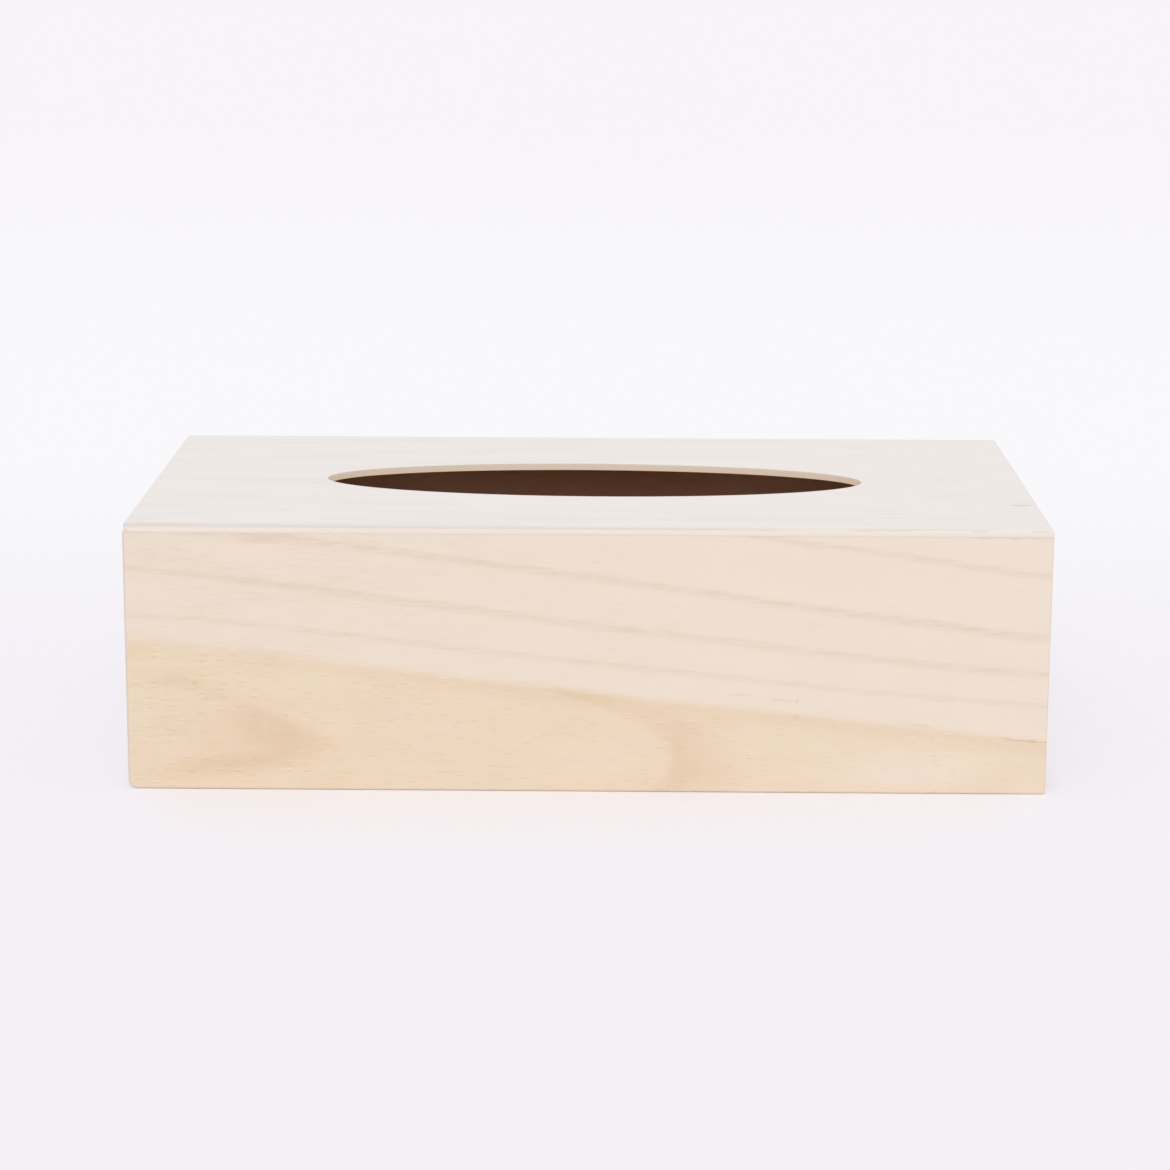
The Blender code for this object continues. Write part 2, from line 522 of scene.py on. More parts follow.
class Nodes:
    """Adds shader nodes to a tree. A value is a number, a tuple, or another node's output."""

    def __init__(self, tree):
        self.tree = tree

    def add(self, kind, inputs, output=0, **settings):
        node = self.tree.nodes.new(kind)
        for name, setting in settings.items():
            setattr(node, name, setting)
        for key, value in inputs.items():
            self.feed(node.inputs[key], value)
        return None if output is None else node.outputs[output]

    def feed(self, socket, value):
        if isinstance(value, bpy.types.NodeSocket):
            self.tree.links.new(value, socket)
        else:
            socket.default_value = value

    def add_output(self, surface, kind="ShaderNodeOutputMaterial"):
        self.add(kind, {0: surface}, None)

    def math(self, operation, *values):
        return self.add("ShaderNodeMath", dict(enumerate(values)), operation=operation)

    def times(self, first, second):
        return self.math("MULTIPLY", first, second)

    def total(self, first, *rest):
        for value in rest:
            first = self.math("ADD", first, value)
        return first

    def between(self, value, low, high, first=0.0, last=1.0, kind="SMOOTHSTEP"):
        """The first value at low, the last at high, and what lies between them in between."""
        inputs = {0: value, 1: low, 2: high, 3: first, 4: last}
        return self.add("ShaderNodeMapRange", inputs, interpolation_type=kind)

    def mix(self, factor, first, second):
        return self.add("ShaderNodeMix", {0: factor, 6: first, 7: second}, 2, data_type="RGBA")

    def split(self, vector):
        output = self.add("ShaderNodeSeparateXYZ", {0: vector})
        return output.node.outputs

    def reorder(self, vector, order):
        parts = self.split(vector)
        inputs = {place: parts["XYZ".index(letter)] for place, letter in enumerate(order)}
        return self.add("ShaderNodeCombineXYZ", inputs)

    def fitted(self, vector, middle, size, turn=0.0):
        """The vector as seen from an oval: zero at its middle, and one away at its rim."""
        inputs = {0: vector, 1: middle, 2: (0, 0, turn), 3: size}
        return self.add("ShaderNodeMapping", inputs, vector_type="TEXTURE")

    def noise(self, vector, grains, seed=0.0):
        """Soft noise about 0.5; the seed picks another part of it too."""
        place = (grains.place + seed,) * 3
        spot = self.fitted(vector, place, grains.size)
        return self.add("ShaderNodeTexNoise", {"Vector": spot, "Scale": 1.0, "Detail": grains.detail})

    def around_zero(self, value, reach):
        """A noise about 0.5, spread to run from minus reach to plus reach."""
        return self.between(value, *most_noise, -reach, reach, "LINEAR")

    def shading(self, vector, grains, seed):
        """Soft noise that moves a shade up and down by the reach of its grains."""
        return self.around_zero(self.noise(vector, grains, seed), grains.reach)

    def flecks(self, vector, size, filled, place=0.0):
        """Short fine strokes, above zero where dark and below where pale. Each has a room of that size.

        A share of the rooms holds a dark stroke, a share a pale one just above it, and some hold both.
        """
        strokes = []
        for rise, channel, sign in ((0.0, 0, 1.0), (0.5 * size[1], 1, -1.0)):
            spot = self.fitted(vector, (place, place + rise, place), size)
            output = self.add("ShaderNodeTexVoronoi", {"Vector": spot, "Scale": 1.0})
            stroke = self.between(output.node.outputs["Distance"], *fleck_range, 0, sign)
            chance = self.split(output.node.outputs["Color"])[channel]
            picked = self.between(chance, 1 - filled, 1 - filled / 2)
            strokes.append(self.times(stroke, picked))
        return self.total(*strokes)

    def marks(self, vector, marks):
        """The sum of soft oval marks."""
        shades = [0.0]
        for mark in marks:
            middle = (mark.along, mark.across, 0)
            size = (mark.half_length, mark.half_breadth, right_through)
            spot = self.fitted(vector, middle, size, math.radians(mark.turn))
            round_fall = self.add("ShaderNodeTexGradient", {0: spot}, 1, gradient_type="SPHERICAL")
            shades.append(self.between(round_fall, 0, mark_core, 0, mark.strength))
        return self.total(*shades)

    def figures(self, vector, figures):
        """The sum of pointed figures, each darkest at its rim and fading out along its arms."""
        shades = [0.0]
        for figure in figures:
            middle = (figure.along, figure.across, 0)
            size = (figure.length, figure.half_breadth, right_through)
            along, across = self.split(self.fitted(vector, middle, size, math.radians(figure.turn)))[:2]
            past_rim = self.math("MULTIPLY_ADD", across, across, along)
            inner = self.math("DIVIDE", past_rim, -figure.inward_share)
            outer = self.math("DIVIDE", past_rim, figure.outward_share)
            rim = self.between(self.math("MAXIMUM", inner, outer), 1, 0, 0, figure.strength)
            fading = self.between(along, *arm_range, figure.arm_share, 1)
            shades.append(self.times(rim, fading))
        return self.total(*shades)

    def curve(self, share_along, line):
        """The height of a growth line at a share of half the board's length from its middle."""
        rise = self.math("MULTIPLY_ADD", share_along, line.sway, line.bow)
        slope = self.math("MULTIPLY_ADD", share_along, rise, -line.fall)
        return self.math("MULTIPLY_ADD", share_along, slope, line.height)

    def tones(self, shade, colours, light, plain, brown):
        """One of the colours for each shade: the named light at -1, plain at 0 and brown at 1."""
        node = self.tree.nodes.new("ShaderNodeValToRGB")
        stops = node.color_ramp.elements
        stops.new(0.5)
        for stop, name in zip(stops, (light, plain, brown)):
            stop.color = (*getattr(colours, name), 1)
        self.feed(node.inputs[0], self.between(shade, -1, 1, kind="LINEAR"))
        return node.outputs[0]


def empty_nodes(owner):
    """The nodes of a material or a world, without those that it starts with."""
    owner.use_nodes = True
    owner.node_tree.nodes.clear()
    return Nodes(owner.node_tree)


def new_material(name):
    """A material, its nodes, and where on the piece a spot lies, in millimetres, with its normal."""
    material = bpy.data.materials.new(name)
    nodes = empty_nodes(material)
    place = nodes.add("ShaderNodeTexCoord", {}, "Object")
    scale = (millimetres_per_metre,) * 3
    spot = nodes.add("ShaderNodeMapping", {0: place, 3: scale}, vector_type="POINT")
    return material, nodes, spot, place.node.outputs["Normal"]


def thin_room(long_side, breadth):
    """The size in millimetres of a long thin room, from its two measures in metres."""
    return tuple(side * millimetres_per_metre for side in (long_side, breadth, breadth))


# How much smoother the hollows and how much rougher the fibres are than the wood as a whole
smoother_hollows = 0.05
rougher_fibres = 0.07
relief_strength = 0.5


def bare_wood(nodes, colour_output, fibres, grain):
    """Ends a wood material: a matt surface with its fine relief."""
    smooth = grain.roughness - smoother_hollows
    rough = grain.roughness + rougher_fibres
    relief = {"Strength": relief_strength, "Distance": grain.relief, "Height": fibres}
    inputs = {
        "Base Color": colour_output,
        "Roughness": nodes.between(fibres, *all_noise, smooth, rough, "LINEAR"),
        "Specular IOR Level": grain.shine,
        "Normal": nodes.add("ShaderNodeBump", relief),
    }
    nodes.add_output(nodes.add("ShaderNodeBsdfPrincipled", inputs))


# Soft noises on the boards, of which each board has its own part
board_seed = 3.0
fibre_reach = 0.1
line_steps = Grains((4, 0.5, 4), detail=3)
line_drift = Grains((40, 14, 20), detail=3)
line_strokes = Grains((8, 0.9, 8), detail=3, place=7)
board_clouds = Grains((34, 9, 9), 0.12)
board_streaks = Grains((5, 1, 1.5), 0.09, 3, 9)
pink_patches = Grains((11, 3.5, 6), detail=3, place=5)
board_pores = Grains((0.4, 0.4, 0.4), 0.5)

# Flecks: the share of rooms with one, how far they move the shade, and how brown they turn the heartwood
board_flecks = 0.6
fleck_shade = 0.1
heart_fleck_shade = 0.16
heart_fleck_brown = 0.13

# A fade is where it starts, where it ends, and its values there if they aren't 0 and 1
patch_fade = (0.42, 0.62, 0, 0.45)
stroke_fade = (*most_noise, 0.25, 1.75)

# Growth layers fall by this share of the way inwards, and this share of a line's reach is its core
layer_slope = 0.55
line_core = 0.1

# A board that is brighter at its right end is darker by this share of that at its left end
left_end_share = 1 / 6

# The heartwood's boundary is blurred and its rim weak along these shares of half the board, from its left
# end. The rim starts and is full at these places under the boundary, in blurs
blurred_stretch = (-1, -0.3)
weak_rim_stretch = (-1, -0.2)
rim_start = (-0.4, 0.8)

# How squarely a face looks along the board for its end grain, and inwards for its inside
end_facing = (0.75, 0.97)
inner_facing = (0.6, 0.95)

# How much stronger growth lines show on the end grain
ring_strength = 1.5

# Painted shade on the arris at a left end: how far left it faces, and its fade to both sides of that
painted_arris_shade_facing = 0.5
painted_arris_shade_fade = (0.45, 0.3, 0, 0.5)

# The inside, in millimetres: where its painted shade starts over the bottom, and how painted light makes
# it paler at its ends and foot
over_bottom = (0.5, 2.5)
painted_light_ends = (20, 65, 0, 0.85)
painted_light_foot = (72, 56, 0, 0.55)


class BoardPattern:
    """The pattern of one board: where a spot lies on it, and what its faces, ends and inside share."""

    def __init__(self, nodes, place, look, grain):
        self.nodes = nodes
        self.look = look
        self.seed = board_seed * look.face
        self.spot = nodes.reorder(place, look.order)
        self.along, self.across, self.through = nodes.split(self.spot)
        self.share_along = nodes.math("DIVIDE", self.along, look.half_length)
        self.height = self.layer_height(grain)
        bent = {0: self.along, 1: self.height, 2: self.through}
        self.bent_spot = nodes.add("ShaderNodeCombineXYZ", bent)
        fibres = Grains(thin_room(grain.fibre_length, grain.fibre_breadth), detail=3)
        self.fibres = nodes.noise(self.spot, fibres, self.seed)
        fleck_room = thin_room(grain.fleck_length, grain.fleck_breadth)
        self.flecks = nodes.flecks(self.spot, fleck_room, board_flecks, self.seed)
        self.shade = self.plain_shade()
        self.darker = nodes.total(self.growth_lines(), nodes.marks(self.bent_spot, darkening(look.marks)))
        self.dark_shade = nodes.total(self.shade, self.darker)

    def layer_height(self, grain):
        """The height at which the growth layer at a spot meets the outer face, with the fibres' waver."""
        nodes = self.nodes
        inwards = nodes.math("SUBTRACT", self.through, self.look.face)
        steps = nodes.noise(self.spot, line_steps, self.seed)
        drift = nodes.noise(self.spot, line_drift, self.seed)
        return nodes.total(
            self.across,
            nodes.times(inwards, layer_slope * self.look.inward),
            nodes.around_zero(steps, grain.line_step * millimetres_per_metre),
            nodes.around_zero(drift, grain.line_drift * millimetres_per_metre),
        )

    def plain_shade(self):
        """The shade of the wood between its growth lines."""
        nodes = self.nodes
        look = self.look
        shades = [
            nodes.around_zero(self.fibres, -fibre_reach),
            nodes.shading(self.spot, board_clouds, self.seed),
            nodes.shading(self.spot, board_streaks, self.seed),
            nodes.marks(self.bent_spot, brightening(look.marks)),
        ]
        if look.brighter:
            ends = (-look.half_length, look.half_length)
            end_shades = (look.brighter * left_end_share, -look.brighter)
            shades.append(nodes.between(self.along, *ends, *end_shades, "LINEAR"))
        return nodes.total(*shades, nodes.times(self.flecks, fleck_shade))

    def growth_lines(self):
        """The shade of the growth lines, each made of short level strokes of unlike strength."""
        nodes = self.nodes
        shades = []
        for line in self.look.lines:
            above = nodes.math("SUBTRACT", self.height, nodes.curve(self.share_along, line))
            upper = nodes.math("DIVIDE", above, line.above)
            lower = nodes.math("DIVIDE", above, -line.below)
            reach = nodes.math("MAXIMUM", upper, lower)
            shades.append(nodes.between(reach, 1, line_core, 0, line.strength))
        strokes = nodes.between(nodes.noise(self.spot, line_strokes), *stroke_fade, "LINEAR")
        return nodes.times(nodes.total(*shades), strokes)

    def heart_edge(self):
        """The share of yellower wood under its boundary, and the darker rim along that boundary."""
        nodes = self.nodes
        edge = self.look.heart
        below = nodes.math("SUBTRACT", nodes.curve(self.share_along, edge), self.height)
        blur = nodes.between(self.share_along, *blurred_stretch, edge.left_blur, edge.blur)
        reach = nodes.math("DIVIDE", below, blur)
        fading = nodes.between(below, edge.rim_depth, edge.rim_top, 0, edge.rim_strength)
        rim = nodes.times(nodes.between(reach, *rim_start), fading)
        strength = nodes.between(self.share_along, *weak_rim_stretch, edge.rim_left_share, 1)
        return nodes.between(reach, -1, 1), nodes.times(rim, strength)

    def heartwood(self, colours, rim):
        """The colour of the yellower wood, with its pinker and paler patches, marks and figures."""
        nodes = self.nodes
        look = self.look
        shade = nodes.total(
            self.shade,
            nodes.times(self.flecks, heart_fleck_shade),
            nodes.marks(self.bent_spot, brightening(look.heart_marks)),
        )
        yellow = nodes.tones(shade, colours, "heart_light", "heart_plain", "heart_brown")
        pinker = nodes.between(nodes.noise(self.spot, pink_patches, self.seed), *patch_fade)
        yellow = nodes.mix(pinker, yellow, (*colours.heart_pink, 1))
        paler = nodes.marks(self.bent_spot, look.pale_marks)
        yellow = nodes.mix(paler, yellow, (*colours.heart_pale, 1))
        browner = nodes.total(
            rim,
            nodes.times(self.flecks, heart_fleck_brown),
            nodes.marks(self.bent_spot, darkening(look.heart_marks)),
            nodes.figures(self.bent_spot, look.figures),
        )
        return nodes.mix(browner, yellow, (*colours.heart_brown, 1))

    def face(self, colours):
        """The colour of the long faces and edges."""
        nodes = self.nodes
        face = nodes.tones(self.shade, colours, "board_light", "board_plain", "board_brown")
        if self.look.heart:
            heart, rim = self.heart_edge()
            face = nodes.mix(heart, face, self.heartwood(colours, rim))
        return nodes.mix(self.darker, face, (*colours.board_brown, 1))

    def end_grain(self, colours):
        """The colour of the ends: pores, and the growth layers as they come through the board."""
        nodes = self.nodes
        pores = nodes.noise(self.spot, board_pores, self.seed)
        pore_shade = nodes.between(pores, *most_noise, -board_pores.reach, board_pores.reach)
        shade = nodes.total(pore_shade, nodes.times(self.dark_shade, ring_strength))
        return nodes.tones(shade, colours, "board_plain", "end_grain", "heart_brown")

    def inside(self, colours):
        """The colour of the inner face: unsanded wood darkened as painted shade of the closed box, with
        painted light paler towards its ends and its foot.
        """
        nodes = self.nodes
        inside = nodes.tones(self.dark_shade, colours, "heart_plain", "inside", "inside")
        # Painted light towards the ends and the foot of the inner face
        paler = nodes.total(
            nodes.between(nodes.math("ABSOLUTE", self.along), *painted_light_ends),
            nodes.between(self.across, *painted_light_foot),
        )
        return nodes.mix(paler, inside, (*colours.inside_painted_light, 1))


def board_material(name, look, colours, grain):
    """Pale flat-sawn wood: growth lines, a part of yellower heartwood, flecks, fibres and end grain."""
    material, nodes, place, normal = new_material(name)
    pattern = BoardPattern(nodes, place, look, grain)
    facing = nodes.split(nodes.reorder(normal, look.order))
    on_end = nodes.between(nodes.math("ABSOLUTE", facing[0]), *end_facing)
    outside = nodes.mix(on_end, pattern.face(colours), pattern.end_grain(colours))
    # Painted shade on the rounded arris that faces left
    from_painted_arris_shade = nodes.math("ABSOLUTE", nodes.math("ADD", facing[0], painted_arris_shade_facing))
    outside = nodes.mix(nodes.between(from_painted_arris_shade, *painted_arris_shade_fade), outside, (*colours.arris, 1))
    # Painted shade of the closed box: inner faces above the bottom take the darker inside colour
    inwards = nodes.times(facing[2], float(look.inward))
    bottom_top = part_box("bottom_board")[1].z * millimetres_per_metre
    inside_foot = (bottom_top + height for height in over_bottom)
    in_cavity = nodes.times(
        nodes.between(inwards, *inner_facing), nodes.between(pattern.across, *inside_foot)
    )
    bare_wood(nodes, nodes.mix(in_cavity, outside, pattern.inside(colours)), pattern.fibres, grain)
    return material


# Soft noises on the plywood, of which each panel has its own part
ply_seed = 11.0
ply_fibres = Grains((16, 0.5, 0.3), 0.06, 3)
ply_clouds = Grains((46, 8, 30), 0.1)
ply_streaks = Grains((60, 1.6, 20), 0.08)
ply_pores = Grains((0.6, 0.6, 0.25), 0.35)
worn_dashes = Grains((8, 60, 60))
ply_flecks = 0.4
ply_fleck_shade = 0.08

# Plywood edges, in shares of the thickness from its middle: where the middle ply ends, where the glue
# lies, and how far it reaches
middle_ply = (0.26, 0.23)
glue_place = 0.245
glue_reach = (0.035, 0.01)
glue_strength = 0.25

# In shares of the thickness from its foot: where the stain of glue ends and is full, and how the plies
# fade in on the wall of an opening
stain_range = (0.35, 0.03)
cut_ply_fade = (0.4, 0.75, 0, 0.5)

# The part of the opening's mark in which an edge starts to be the wall of that opening
opening_rim = (0.2, 0.3)

# How squarely a panel's face looks up or down, and its worn arris, with its reach to both sides of that
level_range = (0.35, 0.75)
arris_facing = 0.6
arris_reach = (0.38, 0.25)

# The arris is worn evenly at the left, and goes over into dashes along this stretch, in millimetres
even_wear = 0.6
dashes_from = (20, 90)
dash_fade = (0.46, 0.58, 0.02, 0.5)


def ply_shade(nodes, spot, seed, fibres, look, grain):
    """The shade of a plywood face: long level streaks, flecks and marks."""
    streaks = nodes.total(
        nodes.around_zero(fibres, ply_fibres.reach),
        nodes.shading(spot, ply_clouds, seed),
        nodes.shading(spot, ply_streaks, seed),
    )
    ends = (corner.x * millimetres_per_metre for corner in cad_box)
    contrast = nodes.between(nodes.split(spot)[0], *ends, *look.contrast, "LINEAR")
    fleck_room = thin_room(grain.fleck_length, grain.fleck_breadth)
    flecks = nodes.flecks(spot, fleck_room, ply_flecks, seed)
    return nodes.total(
        nodes.times(streaks, contrast),
        nodes.times(flecks, ply_fleck_shade),
        nodes.marks(spot, look.marks),
    )


def ply_edge(nodes, spot, seed, level, shade, look, colours):
    """The colour of a plywood edge: three plies, the glue round them, and the wall of an opening."""
    from_middle = nodes.math("ABSOLUTE", nodes.math("SUBTRACT", level, 0.5))
    outer = nodes.tones(shade, colours, "lid_light", "veneer_edge", "core_edge")
    pores = nodes.shading(spot, ply_pores, seed)
    middle = nodes.tones(pores, colours, "veneer_edge", "core_edge", "glue_line")
    plies = nodes.mix(nodes.between(from_middle, *middle_ply), outer, middle)
    from_glue = nodes.math("ABSOLUTE", nodes.math("SUBTRACT", from_middle, glue_place))
    glue = nodes.times(nodes.between(from_glue, *glue_reach), glue_strength)
    stain = nodes.between(level, *stain_range, 0, look.stain)
    for strength in (glue, stain):
        plies = nodes.mix(strength, plies, (*colours.glue_line, 1))
    wall = nodes.mix(nodes.between(level, *cut_ply_fade), (*colours.cut_edge, 1), plies)
    in_opening = nodes.between(nodes.marks(spot, (look.opening,)), *opening_rim)
    return nodes.mix(in_opening, plies, wall)


def ply_material(name, node, look, colours, grain):
    """Thin plywood lying flat: streaked faces, and three plies with their glue on its edges."""
    material, nodes, spot, normal = new_material(name)
    foot, top = (corner.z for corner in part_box(node))
    seed = ply_seed * top
    fibres = nodes.noise(spot, ply_fibres, seed)
    shade = ply_shade(nodes, spot, seed, fibres, look, grain)
    face = nodes.tones(shade, colours, *look.tones)
    # The inner face's tones, darkened as painted shade of the closed box
    inside = nodes.tones(shade, colours, *look.inner_tones)
    along, _, height = nodes.split(spot)
    thickness = (foot * millimetres_per_metre, top * millimetres_per_metre)
    level = nodes.between(height, *thickness, kind="LINEAR")
    edge = ply_edge(nodes, spot, seed, level, shade, look, colours)
    facing_up = nodes.split(normal)[2]
    level_facing = nodes.math("ABSOLUTE", facing_up)
    outside = nodes.mix(nodes.between(level_facing, *level_range), edge, face)

    dashes = nodes.between(nodes.noise(spot, worn_dashes, seed), *dash_fade)
    wear = nodes.between(along, *dashes_from, even_wear, dashes)
    from_arris = nodes.math("ABSOLUTE", nodes.math("SUBTRACT", level_facing, arris_facing))
    worn = nodes.times(nodes.between(from_arris, *arris_reach), wear)
    outside = nodes.mix(worn, outside, (*colours.arris, 1))
    # Painted shade in and round the check in the lid
    outside = nodes.mix(nodes.marks(spot, look.painted_crack_shades), outside, (*colours.crack, 1))
    inwards = nodes.times(facing_up, float(look.inward))
    colour_output = nodes.mix(nodes.between(inwards, *inner_facing), outside, inside)
    bare_wood(nodes, colour_output, fibres, grain)
    return material


def block(low, high):
    """A box between two corners."""
    low = Vector(low)
    high = Vector(high)
    shape = bmesh.new()
    bmesh.ops.create_cube(shape, size=1)
    bmesh.ops.scale(shape, vec=high - low, verts=shape.verts)
    bmesh.ops.translate(shape, vec=(low + high) / 2, verts=shape.verts)
    return shape


def outermost(shape, axis, side):
    """Edges that lie wholly in the outermost plane of a shape on one side of one axis."""
    reach = max(side * vert.co[axis] for vert in shape.verts) - plane_reach
    return {edge for edge in shape.edges if all(side * vert.co[axis] > reach for vert in edge.verts)}


def round_edges(shape, edges, radius, segments=arris_segments):
    bmesh.ops.bevel(
        shape,
        geom=list(edges),
        offset=radius,
        offset_type="OFFSET",
        segments=segments,
        profile=0.5,
        affect="EDGES",
        clamp_overlap=True,
        material=-1,
    )


def stack_of_ovals(middle, half_length, half_breadth, rings, segments):
    """A closed solid of oval section. Each ring is how far it stands outside the oval, and its height."""
    shape = bmesh.new()
    ring = bmesh.ops.create_circle(shape, segments=segments, radius=1)["verts"]
    bmesh.ops.translate(shape, vec=(middle[0], middle[1], 0), verts=ring)
    reach = (1, 1)
    height = 0
    for number, (out, next_height) in enumerate(rings):
        if number:
            rim = [edge for edge in shape.edges if edge.verts[0] in ring and edge.verts[1] in ring]
            grown = bmesh.ops.extrude_edge_only(shape, edges=rim)["geom"]
            ring = [part for part in grown if isinstance(part, bmesh.types.BMVert)]
        next_reach = (half_length + out, half_breadth + out)
        for vert in ring:
            vert.co.x = middle[0] + (vert.co.x - middle[0]) * next_reach[0] / reach[0]
            vert.co.y = middle[1] + (vert.co.y - middle[1]) * next_reach[1] / reach[1]
        bmesh.ops.translate(shape, vec=(0, 0, next_height - height), verts=ring)
        reach = next_reach
        height = next_height
    bmesh.ops.holes_fill(shape, edges=shape.edges)
    bmesh.ops.recalc_face_normals(shape, faces=shape.faces)
    return shape


def rim_rings(low, high, foot_radius, top_radius, lean=0):
    """Rings of a cutter whose wall leans outwards and turns out over a rounded foot and top."""
    rings = [(foot_radius, low - overrun)]
    quarter = math.radians(90)
    for step in range(arris_segments + 1):
        turn = quarter * step / arris_segments
        rings.append((foot_radius * (1 - math.sin(turn)), low + foot_radius * (1 - math.cos(turn))))
    for step in range(arris_segments + 1):
        turn = quarter * step / arris_segments
        rings.append((lean + top_radius * (1 - math.cos(turn)), high - top_radius * (1 - math.sin(turn))))
    rings.append((lean + top_radius, high + overrun))
    return rings


def mesh_object(name, shape):
    data = bpy.data.meshes.new(name)
    shape.to_mesh(data)
    shape.free()
    obj = bpy.data.objects.new(name, data)
    bpy.context.scene.collection.objects.link(obj)
    return obj


def cut(shape, *tools):
    """What is left of a shape once the tool shapes are cut out of it."""
    body = mesh_object("cut_body", shape)
    helpers = []
    for tool in tools:
        helper = mesh_object("cut_tool", tool)
        modifier = body.modifiers.new(helper.name, "BOOLEAN")
        modifier.operation = "DIFFERENCE"
        modifier.solver = "EXACT"
        modifier.object = helper
        helpers.append(helper)
    left = bmesh.new()
    left.from_object(body, bpy.context.evaluated_depsgraph_get())
    for obj in [body, *helpers]:
        data = obj.data
        bpy.data.objects.remove(obj)
        bpy.data.meshes.remove(data)
    return left


def finish_piece(name, shape, node, body, material):
    """Makes a shape a piece that stands for its CAD node and moves with its body."""
    bmesh.ops.recalc_face_normals(shape, faces=shape.faces)
    piece = mesh_object(name, shape)
    piece.data.shade_smooth()
    piece.data.set_sharp_from_angle(angle=sharp_angle)
    piece.data.materials.append(material)
    flat_faces = piece.modifiers.new("even_flat_faces", "WEIGHTED_NORMAL")
    flat_faces.keep_sharp = True
    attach(piece, body)
    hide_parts(node)


def user_settings(context):
    """The sizes, colours and grain that the panel shows."""
    scene = context.scene
    return scene.tissue_box_shape, scene.tissue_box_colours, scene.tissue_box_grain


def slide_space(sizes):
    """The room that the bottom slides in, which cuts the grooves and runs out past the right end."""
    low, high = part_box("bottom_board")
    room = Vector((sizes.slide_clearance,) * 3)
    low = low - room
    high = high + room
    high.x += overrun
    return block(low, high)


def long_board(node, side, sizes):
    """The front board (side -1) or back board (side 1): full width, with the groove for the bottom."""
    low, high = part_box(node)
    high.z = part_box("top_panel")[0].z - sizes.joint_gap
    shape = block(low, high)
    left_foot = outermost(shape, 2, -1) & outermost(shape, 0, -1)
    round_edges(shape, left_foot, sizes.left_foot_radius, foot_segments)
    right_foot = outermost(shape, 2, -1) & outermost(shape, 0, 1)
    round_edges(shape, right_foot, sizes.right_foot_radius)
    round_edges(shape, outermost(shape, 1, side) - outermost(shape, 2, 1), sizes.corner_radius)
    return cut(shape, slide_space(sizes))


# The share of an open joint in which it opens up
opening_up_share = 0.2


def open_joint(shape, sizes):
    """Lowers the top edge of a board at its right end, so that the joint there shows as a fine line."""
    right = max(vert.co.x for vert in shape.verts)
    top = max(vert.co.z for vert in shape.verts)
    start = right - sizes.loose_length
    full = start + sizes.loose_length * opening_up_share
    for x in (start, full):
        parts = [*shape.verts, *shape.edges, *shape.faces]
        bmesh.ops.bisect_plane(shape, geom=parts, plane_co=(x, 0, 0), plane_no=(1, 0, 0))
    near = sizes.joint_gap
    for vert in shape.verts:
        if vert.co.x > full - near and vert.co.z > top - near:
            vert.co.z -= sizes.loose_gap


# Width of the check in the lid at its tip, as a share of its width at the edge
crack_tip_share = 0.9


class TISSUEBOX_OT_lid(bpy.types.Operator):
    """Make the thin plywood lid with its oval opening"""

    bl_idname = "tissue_box.lid"
    bl_label = "Lid"

    def execute(self, context):
        sizes, colours, grain = user_settings(context)
        low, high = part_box("top_panel")
        shape = block(low, high)
        for end, side in ((-1, -1), (-1, 1), (1, -1), (1, 1)):
            corner = outermost(shape, 0, end) & outermost(shape, 1, side)
            worn = end == side == -1
            round_edges(shape, corner, sizes.lid_corner_radius if worn else sizes.corner_radius)
        round_edges(shape, outermost(shape, 2, 1), sizes.lid_radius)
        shape = cut(shape, self.opening(low.z, high.z, sizes), self.crack(high, sizes))
        material = ply_material("lid_plywood", "top_panel", lid_look, colours, grain)
        finish_piece("lid", shape, "top_panel", "cover", material)
        return {"FINISHED"}

    def opening(self, low, high, sizes):
        """An oval that cuts the opening, a little askew."""
        middle = (sizes.opening_right, -sizes.opening_front, 0)
        oval = stack_of_ovals(
            middle,
            sizes.opening_length / 2,
            sizes.opening_width / 2,
            rim_rings(low, high, sizes.opening_foot_radius, sizes.opening_radius, sizes.opening_lean),
            opening_segments,
        )
        turn = Matrix.Rotation(sizes.opening_turn, 3, "Z")
        bmesh.ops.rotate(oval, cent=middle, matrix=turn, verts=oval.verts)
        return oval

    def crack(self, high, sizes):
        """A slot that cuts the fine check at the right edge of the lid, a little narrower at its tip."""
        middle = -sizes.crack_front
        half_width = sizes.crack_width / 2
        slot = block(
            (high.x - sizes.crack_length, middle - half_width, high.z - sizes.crack_depth),
            (high.x + overrun, middle + half_width, high.z + overrun),
        )
        for vert in slot.verts:
            if vert.co.x < high.x:
                vert.co.y = middle + (vert.co.y - middle) * crack_tip_share
        return slot


class TISSUEBOX_OT_long_boards(bpy.types.Operator):
    """Make the front board and the back board"""

    bl_idname = "tissue_box.long_boards"
    bl_label = "Front and Back Boards"

    def execute(self, context):
        sizes, colours, grain = user_settings(context)
        front = long_board("front_wall", -1, sizes)
        open_joint(front, sizes)
        front_material = board_material("front_board_wood", front_look, colours, grain)
        finish_piece("front_board", front, "front_wall", "cover", front_material)
        back = long_board("back_wall", 1, sizes)
        back_material = board_material("back_board_wood", back_look, colours, grain)
        finish_piece("back_board", back, "back_wall", "cover", back_material)
        return {"FINISHED"}


